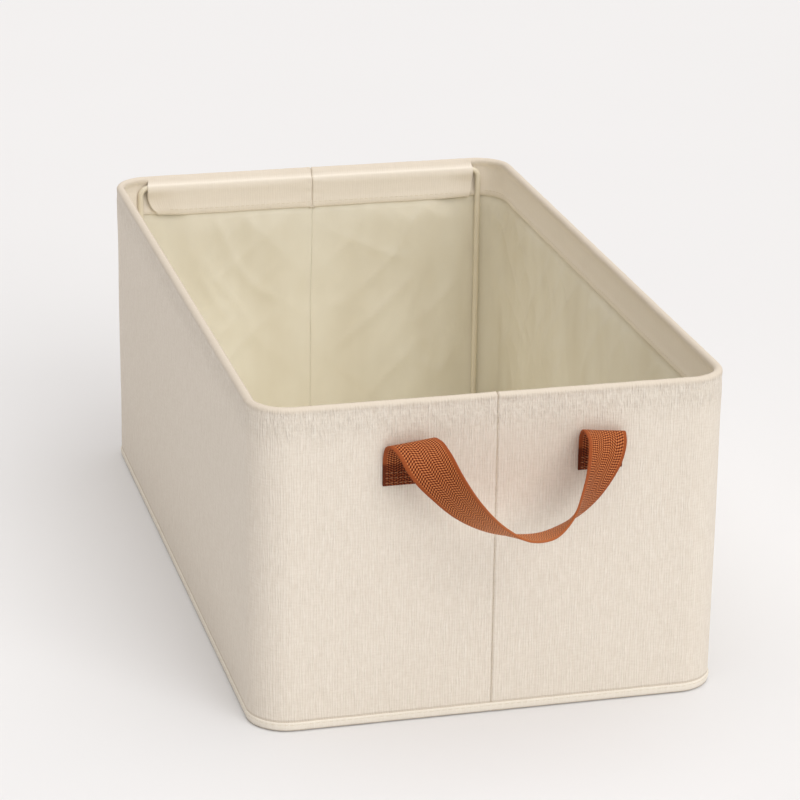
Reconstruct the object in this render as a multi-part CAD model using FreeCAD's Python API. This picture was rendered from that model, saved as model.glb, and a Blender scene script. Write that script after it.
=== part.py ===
import FreeCAD, Part
import math
import os
from FreeCAD import Vector

# Fabric storage bin: an open linen box on a folding wire frame, with a woven carrying handle on each end.
# Units are millimetres and +Z is up. The origin is on the floor under the middle of the bin, +Y is the
# back and +X the right. A wall's "inset" is its distance in from the bin's overall width and depth.

# ---- Driving dimensions: the bin -------------------------------------------------------------------
bin_width = 300.0
bin_depth = 510.0
bin_height = 210.0
corner_radius = 26.0

linen = 0.8                 # outer cloth
lining = 0.6                # coated inner cloth
wall_gap = 1.6              # between outer cloth and lining
band_depth = 27.0           # outer cloth turned over the rim and sewn down inside
hem_fold = 3.0              # height of the band's turned hem
binding_thickness = 0.6     # tape round the bottom edge, proud of the walls
binding_height = 6.0
board_thickness = 3.0
board_side_gap = 0.5        # board to the inside of the outer cloth

# ---- Driving dimensions: the wire frame ------------------------------------------------------------
rim_wire_diameter = 3.6
rim_wire_gap = 0.2          # all round, in its casing
leg_wire_diameter = 4.0
leg_bend_radius = 6.0       # to the wire's centre line
leg_lining_gap = 0.9        # leg to the flat lining behind it
leg_corner_gap = 0.3        # leg to the lining where it turns the corner
leg_band_gap = 0.3          # top bar to the band in front of it
leg_floor_gap = 0.2         # cross bar to the lined base
bar_below_rim = 5.0         # top bar's centre under the rim wire's centre
slit_gap = 1.5              # band opening, either side of a leg

# ---- Driving dimensions: the handles ---------------------------------------------------------------
webbing_width = 28.0
webbing_thickness = 1.4
handle_spacing = 122.0      # between the middles of the two sewn tabs
handle_offset = 4.0         # handle's middle, right of the bin's middle
tab_below_rim = 29.0        # fold line under the rim
tab_tail = 24.0             # sewn tail under the fold line
tab_bend_radius = 4.5       # inside of the bend where the webbing leaves the wall
tab_run = 3.5               # webbing standing straight out past that bend
backing_thickness = 1.0
backing_margin = 6.0        # backing patch past the tabs on every side

thread = 0.5                # sewing thread on the seams
tack_thread = 0.6           # heavier thread that holds the tabs
tack_rows = 3
tack_spacing = 3.2

# The loop's two edges at stations along it, from the left tab to the right one. Each point is
# (distance along the wall from the handle's middle, distance out of the wall, height over the fold line).
upper_edge = [(-42.5, 14.5, 6.5), (-41.5, 23, 6.5), (-36.5, 39, -5), (-27, 49, -21), (-13, 55, -35.5),
              (3, 56.5, -44.5), (16.5, 55.5, -44), (28, 52, -35), (37, 43.5, -20), (45, 28, -3.5),
              (47.5, 17.5, 1.5)]
lower_edge = [(-68.5, 17.5, -2), (-64.5, 22, -8.5), (-52, 25.5, -24), (-36, 28.5, -37.5), (-17, 29.5, -47),
              (1, 29, -51), (15.5, 28, -51.5), (30, 27, -47.5), (47, 25, -38.5), (63.5, 20, -22.5),
              (71, 15, -13)]

# ---- What follows from them ------------------------------------------------------------------------
half_width = bin_width / 2
half_depth = bin_depth / 2
linen_out = binding_thickness
linen_in = linen_out + linen
lining_out = linen_in + wall_gap
lining_in = lining_out + lining

rim_radius = rim_wire_diameter / 2
rim_inset = linen_in + rim_wire_gap + rim_radius
rim_z = bin_height - linen - rim_wire_gap - rim_radius
side_band_out = rim_inset + rim_radius + rim_wire_gap
side_inner = side_band_out + linen

leg_radius = leg_wire_diameter / 2
leg_inset = lining_in + leg_lining_gap + leg_radius
bar_z = rim_z - bar_below_rim
end_band_out = leg_inset + leg_radius + leg_band_gap
end_inner = end_band_out + linen

board_z = linen
lining_floor_z = board_z + board_thickness
floor_z = lining_floor_z + lining
cross_z = floor_z + leg_floor_gap + leg_radius
hem_z = bin_height - band_depth
lining_top = rim_z - rim_radius - 2 * rim_wire_gap

# The legs stand as far out as the lining's rounded corner lets them.
corner_reach = corner_radius - lining_in - leg_radius - leg_corner_gap
leg_x = half_width - corner_radius + math.sqrt(corner_reach ** 2 - (corner_radius - leg_inset) ** 2)

wall_out = half_depth - linen_out
fold_z = bin_height - tab_below_rim
roll_radius = (side_inner - linen_out) / 2 - 0.2
casing_radius = roll_radius - linen


# ---- Helpers ---------------------------------------------------------------------------------------
def rounded_outline(half_x, half_y, radius, z):
    """Closed wire of a rectangle with round corners, at height z."""
    k = radius * (1 - math.sqrt(0.5))
    corners = []
    for sx, sy in ((1, -1), (1, 1), (-1, 1), (-1, -1)):
        on_side = Vector(sx * half_x, sy * (half_y - radius), z)
        middle = Vector(sx * (half_x - k), sy * (half_y - k), z)
        on_end = Vector(sx * (half_x - radius), sy * half_y, z)
        corners.append((on_side, middle, on_end) if sx * sy > 0 else (on_end, middle, on_side))
    edges = []
    for i, (start, middle, end) in enumerate(corners):
        edges.append(Part.Arc(start, middle, end).toShape())
        edges.append(Part.LineSegment(end, corners[(i + 1) % 4][0]).toShape())
    return Part.Wire(edges)


def prism(inset_x, inset_y, low, high):
    """Rounded block, set in from the bin's overall size, from height low to high."""
    outline = rounded_outline(half_width - inset_x, half_depth - inset_y, corner_radius - inset_x, low)
    return Part.Face(outline).extrude(Vector(0, 0, high - low))


def ring(outer, inner, low, high):
    """Rounded ring between two insets; each is one number or a pair (side walls, end walls)."""
    outer = outer if isinstance(outer, tuple) else (outer, outer)
    inner = inner if isinstance(inner, tuple) else (inner, inner)
    return prism(*outer, low, high).cut(prism(*inner, low - 1, high + 1))


def fillet_top(solid, z, radius):
    """Round every edge that lies at height z."""
    edges = [e for e in solid.Edges if all(abs(v.Z - z) < 1e-6 for v in e.Vertexes)]
    return solid.makeFillet(radius, edges)


def box(x0, x1, y0, y1, z0, z1):
    return Part.makeBox(x1 - x0, y1 - y0, z1 - z0, Vector(x0, y0, z0))


def half(solid, side):
    """The part of a solid left (-1) or right (+1) of the centre seams."""
    x0 = 0 if side > 0 else -half_width
    return solid.common(box(x0, x0 + half_width, -half_depth, half_depth, -1, bin_height + 1))


def rod(start, end, radius):
    return Part.makeCylinder(radius, (end - start).Length, start, end - start)


def half_turned(shape):
    """The same shape at the other end of the bin."""
    turned = shape.copy()
    turned.rotate(Vector(0, 0, 0), Vector(0, 0, 1), 180)
    return turned


# ---- Cloth -----------------------------------------------------------------------------------------
def leg_openings():
    """Where the legs come out of the band, at both ends, with room for the fold."""
    inner_x = leg_x - leg_bend_radius - slit_gap
    outer_x = leg_x + leg_radius + slit_gap
    top = bar_z + leg_radius + leg_band_gap * 2
    cuts = []
    for side in (-1, 1):
        x0, x1 = sorted((side * inner_x, side * outer_x))
        cut = box(x0, x1, half_depth - end_inner - 5, half_depth - lining_in, hem_z - 1, top)
        cuts += [cut, half_turned(cut)]
    return cuts[0].fuse(cuts[1:])


def outer_panels():
    """Linen walls, turned over the rim wire and down inside as the band, joined at the end seams."""
    inner = (side_inner, end_inner)
    roll = fillet_top(ring(linen_out, inner, linen, bin_height), bin_height, roll_radius)
    casing_top = bin_height - linen
    casing = ring(linen_in, (side_band_out, end_band_out), linen - 1, casing_top)
    casing = fillet_top(casing, casing_top, casing_radius)
    below_band = ring(linen_in, inner, linen - 1, hem_z)
    hem = ring(lining_in, inner, hem_z, hem_z + hem_fold)
    wall = roll.cut(casing).cut(below_band).fuse(hem).cut(leg_openings())
    return {"outer_panel_left": half(wall, -1), "outer_panel_right": half(wall, 1)}


def lining_panels():
    wall = ring(lining_out, lining_in, floor_z, lining_top)
    return {"lining_left": half(wall, -1), "lining_right": half(wall, 1)}


def base():
    board_inset = linen_in + board_side_gap
    return {
        "outer_bottom": prism(linen_out, linen_out, 0, linen),
        "bottom_binding": ring(0, linen_out, 0, binding_height),
        "base_board": prism(board_inset, board_inset, board_z, lining_floor_z),
        "lining_bottom": prism(lining_out, lining_out, lining_floor_z, floor_z),
    }


def threads():
    """Lockstitch on the end seams, round the band's hem and along the binding's upper edge."""
    seam = rod(Vector(0, -wall_out - thread / 2, binding_height + 2 * thread),
               Vector(0, -wall_out - thread / 2, bin_height - roll_radius), thread / 2)
    hem_low = hem_z + hem_fold / 2
    hem = ring((side_inner, end_inner), (side_inner + thread, end_inner + thread), hem_low, hem_low + thread)
    return {
        "front_seam_thread": seam,
        "back_seam_thread": half_turned(seam),
        "band_hem_thread": hem.cut(leg_openings()),
        "binding_thread": ring(linen_out - thread, linen_out, binding_height, binding_height + thread),
    }


# ---- Wire frame ------------------------------------------------------------------------------------
def rim_wire():
    """One closed ring of wire round the rim."""
    radius = corner_radius - rim_inset
    path = rounded_outline(half_width - rim_inset, half_depth - rim_inset, radius, rim_z)
    start = Vector(half_width - rim_inset, -(half_depth - corner_radius), rim_z)
    section = Part.Wire(Part.makeCircle(rim_radius, start, Vector(0, 1, 0)))
    return path.makePipeShell([section], True, True)


def leg_frame():
    """Closed upright rectangle of wire: top bar in the band, two legs, cross bar on the base."""
    y = half_depth - leg_inset
    height = bar_z - cross_z
    path = rounded_outline(leg_x, height / 2, leg_bend_radius, 0)
    path.rotate(Vector(0, 0, 0), Vector(1, 0, 0), 90)
    path.translate(Vector(0, y, (bar_z + cross_z) / 2))
    start = Vector(leg_x, y, (bar_z + cross_z) / 2)
    section = Part.Wire(Part.makeCircle(leg_radius, start, Vector(0, 0, 1)))
    return path.makePipeShell([section], True, True)


# ---- Handles ---------------------------------------------------------------------------------------
def tab(side):
    """Sewn end of the webbing: a tail flat on the wall, bent out at its top."""
    bend = tab_bend_radius + webbing_thickness
    x0 = handle_offset + side * handle_spacing / 2 - webbing_width / 2
    y = -wall_out
    k = math.sqrt(0.5)
    centre = Vector(x0, y - bend, fold_z)
    outer = [centre + Vector(0, bend, 0), centre + Vector(0, bend * k, bend * k), centre + Vector(0, 0, bend)]
    r = tab_bend_radius
    inner = [centre + Vector(0, r, 0), centre + Vector(0, r * k, r * k), centre + Vector(0, 0, r)]
    low = Vector(0, 0, -tab_tail)
    out = Vector(0, -tab_run, 0)
    wire = Part.Wire([
        Part.LineSegment(outer[0] + low, outer[0]).toShape(),
        Part.Arc(*outer).toShape(),
        Part.LineSegment(outer[2], outer[2] + out).toShape(),
        Part.LineSegment(outer[2] + out, inner[2] + out).toShape(),
        Part.LineSegment(inner[2] + out, inner[2]).toShape(),
        Part.Arc(inner[2], inner[1], inner[0]).toShape(),
        Part.LineSegment(inner[0], inner[0] + low).toShape(),
        Part.LineSegment(inner[0] + low, outer[0] + low).toShape(),
    ])
    return Part.Face(wire).extrude(Vector(webbing_width, 0, 0))


def wall_point(point):
    """A handle station in the bin's frame, on the front wall."""
    along, out, up = point
    return Vector(handle_offset + along, -wall_out - out, fold_z + up)


def smooth_edge(points):
    curve = Part.BSplineCurve()
    curve.interpolate(points)
    return curve.toShape()


def handle_loop():
    """Webbing loop: a flat strip that turns as it hangs, closed from its four long edges."""
    upper = [wall_point(p) for p in upper_edge]
    lower = [wall_point(p) for p in lower_edge]
    centres = [(a + b) * 0.5 for a, b in zip(upper, lower)]
    last = len(centres) - 1
    corners = [[], [], [], []]
    for i, centre in enumerate(centres):
        along = centres[min(i + 1, last)] - centres[max(i - 1, 0)]
        across = upper[i] - lower[i]
        across.normalize()
        normal = along.cross(across)
        normal.normalize()
        w = across * (webbing_width / 2)
        n = normal * (webbing_thickness / 2)
        for line, corner in zip(corners, (w + n, w - n, -w - n, -w + n)):
            line.append(centre + corner)
    edges = [smooth_edge(line) for line in corners]
    faces = [Part.makeRuledSurface(edges[i], edges[(i + 1) % 4]) for i in range(4)]
    for i in (0, last):
        square = [line[i] for line in corners]
        faces.append(Part.Face(Part.makePolygon(square + square[:1])))
    shell = Part.makeShell(faces)
    shell.sewShape()
    solid = Part.makeSolid(shell)
    if solid.Volume < 0:
        solid.reverse()
    return solid


def tab_stitches():
    """Rows of stitches that hold both tails to the wall."""
    y = -wall_out - webbing_thickness - tack_thread / 2
    reach = webbing_width / 2 - 2
    rows = []
    for side in (-1, 1):
        middle = handle_offset + side * handle_spacing / 2
        for i in range(tack_rows):
            z = fold_z - tab_tail + 2 + i * tack_spacing
            rows.append(rod(Vector(middle - reach, y, z), Vector(middle + reach, y, z), tack_thread / 2))
    return Part.makeCompound(rows)


def backing():
    """Patch inside the wall that spreads the pull of both tabs."""
    reach = (handle_spacing + webbing_width) / 2 + backing_margin
    y = -(half_depth - linen_in)
    return box(handle_offset - reach, handle_offset + reach, y, y + backing_thickness,
               fold_z - tab_tail - backing_margin, fold_z + backing_margin)


# ---- Assembly --------------------------------------------------------------------------------------
nodes = {}
nodes.update(outer_panels())
nodes.update(lining_panels())
nodes.update(base())
nodes.update(threads())
nodes["rim_wire"] = rim_wire()
nodes["back_leg_frame"] = leg_frame()
nodes["front_leg_frame"] = half_turned(nodes["back_leg_frame"])
front_handle = {
    "handle_tab_left": tab(-1),
    "handle_tab_right": tab(1),
    "handle_loop": handle_loop(),
    "handle_stitches": tab_stitches(),
    "handle_backing": backing(),
}
for name, shape in front_handle.items():
    nodes["front_" + name] = shape
    nodes["back_" + name] = half_turned(shape)

os.makedirs("parts", exist_ok=True)
for name, shape in nodes.items():
    shape.exportStep("parts/" + name + ".step")
    bounds = shape.BoundBox
    print("%-26s solids %d valid %s volume %10.1f  x %7.1f %7.1f  y %7.1f %7.1f  z %6.1f %6.1f" % (
        name, len(shape.Solids), shape.isValid(), shape.Volume, bounds.XMin, bounds.XMax,
        bounds.YMin, bounds.YMax, bounds.ZMin, bounds.ZMax))
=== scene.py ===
"""A fabric storage bin: linen walls on a folding wire frame, coated lining, webbing handles."""
import logging
import math
from collections.abc import Sequence
from dataclasses import dataclass
from enum import Enum
from functools import cached_property

import bmesh
import bpy
from bmesh.types import BMesh, BMVert
from mathutils import Matrix, Vector, noise
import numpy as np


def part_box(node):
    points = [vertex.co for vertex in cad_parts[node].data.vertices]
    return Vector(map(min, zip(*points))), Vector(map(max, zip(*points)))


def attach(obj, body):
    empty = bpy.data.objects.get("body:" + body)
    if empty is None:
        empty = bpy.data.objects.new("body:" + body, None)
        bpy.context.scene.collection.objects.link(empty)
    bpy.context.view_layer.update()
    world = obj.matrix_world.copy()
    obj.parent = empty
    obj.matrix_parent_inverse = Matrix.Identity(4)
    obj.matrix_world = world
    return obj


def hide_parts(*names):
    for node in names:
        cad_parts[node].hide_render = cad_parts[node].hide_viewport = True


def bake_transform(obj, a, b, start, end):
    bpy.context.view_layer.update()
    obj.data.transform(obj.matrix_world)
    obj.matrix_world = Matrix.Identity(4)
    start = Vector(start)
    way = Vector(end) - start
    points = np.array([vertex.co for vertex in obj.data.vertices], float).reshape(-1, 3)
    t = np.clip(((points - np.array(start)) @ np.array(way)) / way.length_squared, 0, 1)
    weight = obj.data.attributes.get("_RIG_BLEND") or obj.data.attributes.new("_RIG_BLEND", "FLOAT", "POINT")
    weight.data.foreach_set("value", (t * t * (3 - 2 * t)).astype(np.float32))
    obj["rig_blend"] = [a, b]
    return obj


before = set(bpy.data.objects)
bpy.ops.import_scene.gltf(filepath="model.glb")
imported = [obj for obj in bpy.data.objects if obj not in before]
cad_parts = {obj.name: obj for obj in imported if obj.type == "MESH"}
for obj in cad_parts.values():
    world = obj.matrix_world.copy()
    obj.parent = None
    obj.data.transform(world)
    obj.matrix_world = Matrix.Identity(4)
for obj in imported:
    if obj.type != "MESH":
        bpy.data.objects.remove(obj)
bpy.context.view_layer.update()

log = logging.getLogger("storage_bin")

MM = 0.001


# ---- Small sums ------------------------------------------------------------------------------------
def ease(low: float, high: float, value: float) -> float:
    """A smooth step: 0 up to low, 1 from high on (or the other way round when low is above high)."""
    t = min(max((value - low) / (high - low), 0.0), 1.0)
    return t * t * (3.0 - 2.0 * t)


def mix(a: float, b: float, share: float) -> float:
    """The number that lies the given share of the way from a to b."""
    return a + (b - a) * share


def ripple(*place: float) -> float:
    """Smooth noise from -1 to 1 at up to three coordinates."""
    return noise.noise(Vector((*place, 0.0, 0.0)[:3]))


def evenly(start: float, end: float, step: float) -> list[float]:
    """Places from start to end, both included, about a step apart."""
    count = max(1, round(abs(end - start) / step))
    return [mix(start, end, i / count) for i in range(count + 1)]


# ---- Shader nodes ----------------------------------------------------------------------------------
class Number:
    """A number in a recipe: a node's output, with the sums that add further nodes."""

    def __init__(self, recipe: "Recipe", socket: bpy.types.NodeSocket) -> None:
        """Wrap one output socket of a recipe."""
        self.recipe = recipe
        self.socket = socket

    def sum(self, operation: str, first: "Number | float", *others: "Number | float") -> "Number":
        """Add a Math node.

        Args:
            operation: Blender's name for the operation.
            first: The value of the node's first socket.
            others: The values of its other sockets.

        Returns:
            The node's result.
        """
        inputs = dict(enumerate((first, *others)))
        return self.recipe.node("ShaderNodeMath", {"operation": operation}, inputs)

    def __add__(self, other: "Number | float") -> "Number":
        """This number plus another."""
        return self.sum("ADD", self, other)

    __radd__ = __add__

    def __sub__(self, other: "Number | float") -> "Number":
        """This number less another."""
        return self.sum("SUBTRACT", self, other)

    def __rsub__(self, other: float) -> "Number":
        """Another number less this one."""
        return self.sum("SUBTRACT", other, self)

    def __mul__(self, other: "Number | float") -> "Number":
        """This number times another."""
        return self.sum("MULTIPLY", self, other)

    __rmul__ = __mul__

    def wave(self, period: float) -> "Number":
        """A cosine of this number from 0 to 1, with the given period."""
        return self.sum("COSINE", self * (2 * math.pi / period)) * 0.5 + 0.5

    def step(self, low: float, high: float) -> "Number":
        """A smooth step of this number from 0 at low to 1 at high."""
        settings = {"interpolation_type": "SMOOTHSTEP"}
        inputs = {"Value": self, "From Min": low, "From Max": high}
        return self.recipe.node("ShaderNodeMapRange", settings, inputs)

    def zigzag(self, width: float) -> "Number":
        """A triangle wave of this number, from 0 to width."""
        return self.sum("PINGPONG", self, width)


Colour = tuple[float, float, float]
Span = tuple[float, float]


def srgb(red: int, green: int, blue: int) -> Colour:
    """The linear colour of an sRGB triple from 0 to 255."""
    def linear(value: float) -> float:
        """One channel made linear."""
        return value / 12.92 if value <= 0.04045 else ((value + 0.055) / 1.055) ** 2.4
    return linear(red / 255), linear(green / 255), linear(blue / 255)


class Recipe:
    """A material's node tree, with short ways to add the nodes that cloth and paint need."""

    def __init__(self, name: str) -> None:
        """Start a material with one Principled shader."""
        self.material = bpy.data.materials.new(name)
        self.material.use_nodes = True
        self.tree = self.material.node_tree
        self.shader = self.tree.nodes["Principled BSDF"]

    def node(self, kind: str, settings: dict[str, object], inputs: dict[int | str, object],
             output: int | str = 0) -> Number:
        """Add one node.

        Args:
            kind: The node's type.
            settings: Its properties, set before its sockets.
            inputs: Values or links of its sockets, by name or number.
            output: Which output to return.

        Returns:
            That output, as a number to go on with.
        """
        node = self.tree.nodes.new(kind)
        for key, value in settings.items():
            setattr(node, key, value)
        for key, value in inputs.items():
            self.put(node, key, value)
        return Number(self, node.outputs[output])

    def put(self, node: bpy.types.Node, key: int | str, value: object) -> None:
        """Link a number to a node's socket, or set the socket's own value."""
        socket = node.inputs[key]
        if isinstance(value, Number):
            self.tree.links.new(value.socket, socket)
        elif socket.type == "RGBA" and len(value) == 3:
            socket.default_value = (*value, 1.0)
        else:
            socket.default_value = value

    def cloth_place(self) -> tuple[Number, Number]:
        """Metres along and up the cloth, from the piece's own UV map."""
        place = self.node("ShaderNodeUVMap", {"uv_map": "cloth"}, {})
        split = self.node("ShaderNodeSeparateXYZ", {}, {0: place})
        outputs = split.socket.node.outputs
        return Number(self, outputs[0]), Number(self, outputs[1])

    def object_place(self) -> Number:
        """The place in the bin's frame, in metres."""
        return self.node("ShaderNodeTexCoord", {}, {}, "Object")

    def join(self, x: Number | float, y: Number | float, z: Number | float = 0.0) -> Number:
        """Three numbers as a place."""
        return self.node("ShaderNodeCombineXYZ", {}, {0: x, 1: y, 2: z})

    def mottle(self, place: Number, scale: float = 1.0, detail: float = 2.0,
               roughness: float = 0.5) -> Number:
        """Noise from 0 to 1 at a place, with features about 1/scale across."""
        inputs = {"Vector": place, "Scale": scale, "Detail": detail, "Roughness": roughness}
        return self.node("ShaderNodeTexNoise", {"normalize": True}, inputs)

    def tint(self, share: Number, first: object, second: object) -> Number:
        """A colour mixed from two by a share."""
        return self.node("ShaderNodeMix", {"data_type": "RGBA"}, {0: share, 6: first, 7: second}, 2)

    def relief(self, height: Number, depth: float) -> Number:
        """A bump normal from a height of 0 to 1 that stands for the given depth in metres."""
        return self.node("ShaderNodeBump", {}, {"Height": height, "Distance": depth, "Strength": 1.0})

    def finish(self, **sockets: object) -> bpy.types.Material:
        """Set or link the shader's sockets, with spaces for underscores, and hand back the material."""
        names = {socket.name.lower().replace(" ", "_"): socket.name for socket in self.shader.inputs}
        for key, value in sockets.items():
            self.put(self.shader, names[key], value)
        return self.material


# ---- Finishes --------------------------------------------------------------------------------------
@dataclass(frozen=True)
class LinenFinish:
    """Cream linen-look cloth with a fine upright rib, uneven threads, a crinkled top edge, and painted shade
    and painted light near the rim and the binding.
    """

    name: str = "linen_cloth"
    light: Colour = srgb(249, 242, 231)
    dark: Colour = srgb(220, 209, 194)
    rib: float = 1.7 * MM
    pick: float = 1.1 * MM
    crinkled_from: float = 178 * MM
    crinkled_to: float = 200 * MM
    rib_wander: float = 3.4 * MM
    plain: Span = (205.5 * MM, 209 * MM)
    # Heights up the cloth over which its top, turned over the rim, is painted darker: painted shade.
    turned: Span = (204.5 * MM, 207.5 * MM)
    # Heights up the cloth from which the band inside the rim is painted lighter: painted light.
    band: Span = (212 * MM, 217 * MM)
    # Height of the binding tape's top; below it the wall is painted darker, as painted shade in the tuck.
    tuck: float = 6.4 * MM
    tuck_fade: float = 0.8 * MM
    depth: float = 0.12 * MM

    def build(self) -> bpy.types.Material:
        """Make the linen material."""
        recipe = Recipe(self.name)
        along, up = recipe.cloth_place()
        outside = 1.0 - up.step(*self.plain) * 0.8
        wander = recipe.mottle(recipe.join(along * 260.0, up * 45.0), 1.0, 3.0, 0.6) - 0.5
        ribs = (along + wander * self.rib_wander).wave(self.rib)
        uneven = recipe.mottle(recipe.join(along * 480.0, up * 75.0), 1.0, 2.0).step(0.1, 0.8)
        threads = recipe.mottle(recipe.join(along * 1150.0, up * 110.0), 1.0, 1.0).step(0.25, 0.75)
        picks = recipe.mottle(recipe.join(along * 190.0, up * (1 / self.pick)), 1.0, 1.0).step(0.25, 0.75)
        cloud = recipe.mottle(recipe.join(along, up), 16.0, 2.0)
        gathered = up.step(self.crinkled_from, self.crinkled_to) * (outside - 0.2) * 1.25
        # The crinkle noise also tints the colour: painted shade in the crinkles' hollows, painted light on
        # their tops.
        crepe = recipe.mottle(recipe.join(along * 880.0, up * 170.0), 1.0, 2.0, 0.6).step(0.25, 0.75)
        # Painted shade in the crease where the wall tucks into the binding tape; it also dips the bump.
        tucked = (1.0 - up.step(self.tuck, self.tuck + self.tuck_fade)) * 0.9
        height = ribs * uneven * 0.8 + threads * 0.35 + picks * 0.25
        shade = (ribs * uneven * 0.42 + threads * 0.22 + picks * 0.18 - 0.34) * outside + cloud * 0.08 + 0.44
        # Painted light: the band inside the rim is made lighter.
        # Painted shade: the cloth's top over the rim is made darker.
        shade = shade - up.step(*self.turned) * 0.40 + up.step(*self.band) * 0.65
        return recipe.finish(
            base_color=recipe.tint(shade + (crepe - 0.5) * gathered * 0.35 - tucked, self.dark, self.light),
            roughness=0.86 - ribs * 0.06,
            normal=recipe.relief(height * outside + crepe * gathered * 2.0 - tucked, self.depth * 2.0),
            sheen_weight=0.08,
            sheen_roughness=0.5,
            specular_ior_level=0.2,
        )


@dataclass(frozen=True)
class LiningFinish:
    """Smooth coated cloth, a warmer cream, with a soft satin face and a faint weave."""

    light: Colour = srgb(241, 237, 223)
    dark: Colour = srgb(225, 218, 199)
    weave: float = 0.45 * MM

    def build(self) -> bpy.types.Material:
        """Make the lining material."""
        recipe = Recipe("coated_lining_cloth")
        along, up = recipe.cloth_place()
        weave = along.wave(self.weave) * 0.5 + up.wave(self.weave) * 0.5
        crush = recipe.mottle(recipe.join(along, up * 0.6), 70.0, 3.0, 0.55)
        cloud = recipe.mottle(recipe.join(along * 26.0, up * 8.0), 1.0, 2.0).step(0.2, 0.8)
        return recipe.finish(
            base_color=recipe.tint(cloud * 0.7 + crush * 0.3, self.dark, self.light),
            roughness=0.50 + crush * 0.14,
            normal=recipe.relief(crush * 0.8 + weave * 0.06, 0.35 * MM),
            specular_ior_level=0.4,
            sheen_weight=0.05,
        )


@dataclass(frozen=True)
class WebbingFinish:
    """Tan webbing with slanting ribs and smooth edges, painted light on the loop's middle and painted shade
    on the tails.
    """

    light: Colour = srgb(234, 156, 98)
    middle: Colour = srgb(166, 86, 44)
    dark: Colour = srgb(76, 22, 5)
    half_width: float = 14.0 * MM
    selvedge: float = 2.6 * MM
    stripe: float = 4.6 * MM
    rib: float = 1.6 * MM
    yarn: float = 1.65 * MM
    rib_shake: float = 0.4 * MM
    # Distances from the strap's middle where the tails begin to be painted darker: painted shade under the
    # fold.
    tail_shade: Span = (110.0 * MM, 113.0 * MM)
    # Distances from the strap's middle over which the loop's lower middle is painted lighter: painted light.
    lit_middle: Span = (5.0 * MM, 65.0 * MM)
    depth: float = 0.45 * MM

    def build(self) -> bpy.types.Material:
        """Make the webbing material from metres along (from the middle) and across the strap."""
        recipe = Recipe("woven_webbing")
        along, across = recipe.cloth_place()
        shake = recipe.mottle(recipe.join(along, across), 260.0, 2.0) - 0.5
        slant = (across + self.stripe * 0.5).zigzag(self.stripe) * 0.5
        twill = (along + slant + shake * self.rib_shake).wave(self.rib)
        yarns = (across + shake * self.rib_shake).wave(self.yarn)
        grain = recipe.mottle(recipe.join(along * 1500.0, across * 1500.0), 1.0, 1.0)
        edge = across.sum("ABSOLUTE", across).step(self.half_width - self.selvedge,
                                                   self.half_width - self.selvedge * 0.7)
        far = along.sum("ABSOLUTE", along)
        worn = recipe.mottle(recipe.join(along, across), 60.0, 2.0)
        woven = twill * 0.52 + yarns * 0.36 + grain * 0.12
        ribs = woven * (1.0 - edge) + edge * (0.36 + grain * 0.2)
        # Painted shade: the tails, in the shadow of the strap folded over them, are coloured darker.
        under = far.step(*self.tail_shade)
        deep = recipe.tint(ribs.step(0.18, 0.56), self.dark, self.middle)
        # Painted light: the loop's lower middle, which faces up into the light, is coloured lighter.
        lit_middle = 1.0 - far.step(*self.lit_middle)
        face = recipe.tint(ribs.step(0.5, 0.98) * (0.72 + worn * 0.28) + lit_middle * 0.22, deep, self.light)
        tail_shade = recipe.tint(ribs.step(0.35, 1.0), self.dark, self.middle)
        return recipe.finish(
            base_color=recipe.tint(under * 0.85, face, tail_shade),
            roughness=0.60 - ribs * 0.14,
            normal=recipe.relief(ribs, self.depth),
            specular_ior_level=0.12,
        )


@dataclass(frozen=True)
class WireFinish:
    """Steel wire in a cream coating, slightly uneven where it was dipped."""

    light: Colour = srgb(238, 230, 212)
    dark: Colour = srgb(226, 217, 196)

    def build(self) -> bpy.types.Material:
        """Make the coated wire material."""
        recipe = Recipe("cream_coated_wire")
        place = recipe.object_place()
        drips = recipe.mottle(place, 90.0, 3.0)
        scuffs = recipe.mottle(place, 700.0, 2.0)
        return recipe.finish(
            base_color=recipe.tint(drips, self.dark, self.light),
            roughness=0.38 + scuffs * 0.16,
            normal=recipe.relief(drips * 0.7 + scuffs * 0.3, 0.12 * MM),
            coat_weight=0.15,
            coat_roughness=0.3,
        )


@dataclass(frozen=True)
class BoardFinish:
    """Grey-brown pressed board with fibres in it."""

    light: Colour = srgb(178, 164, 140)
    dark: Colour = srgb(132, 116, 94)

    def build(self) -> bpy.types.Material:
        """Make the board material."""
        recipe = Recipe("pressed_board")
        place = recipe.object_place()
        fibres = recipe.mottle(place, 420.0, 4.0, 0.7)
        cloud = recipe.mottle(place, 30.0, 2.0)
        return recipe.finish(
            base_color=recipe.tint(fibres * 0.75 + cloud * 0.25, self.dark, self.light),
            roughness=0.85 + fibres * 0.1,
            normal=recipe.relief(fibres, 0.2 * MM),
        )


@dataclass(frozen=True)
class ThreadFinish:
    """Twisted sewing thread."""

    name: str
    light: Colour
    dark: Colour
    twist: float = 0.5 * MM

    def build(self) -> bpy.types.Material:
        """Make a thread material."""
        recipe = Recipe(self.name)
        place = recipe.object_place()
        fibre = recipe.mottle(place, 1 / self.twist, 2.0)
        return recipe.finish(
            base_color=recipe.tint(fibre, self.dark, self.light),
            roughness=0.55 + fibre * 0.15,
            normal=recipe.relief(fibre, 0.08 * MM),
            sheen_weight=0.15,
        )


@dataclass(frozen=True)
class PatchFinish:
    """Stiff felted backing cloth behind the handles."""

    light: Colour = srgb(226, 220, 206)
    dark: Colour = srgb(196, 188, 170)

    def build(self) -> bpy.types.Material:
        """Make the backing cloth material."""
        recipe = Recipe("felted_backing")
        place = recipe.object_place()
        felt = recipe.mottle(place, 900.0, 4.0, 0.7)
        return recipe.finish(
            base_color=recipe.tint(felt, self.dark, self.light),
            roughness=0.9 + felt * 0.05,
            normal=recipe.relief(felt, 0.2 * MM),
        )


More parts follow.
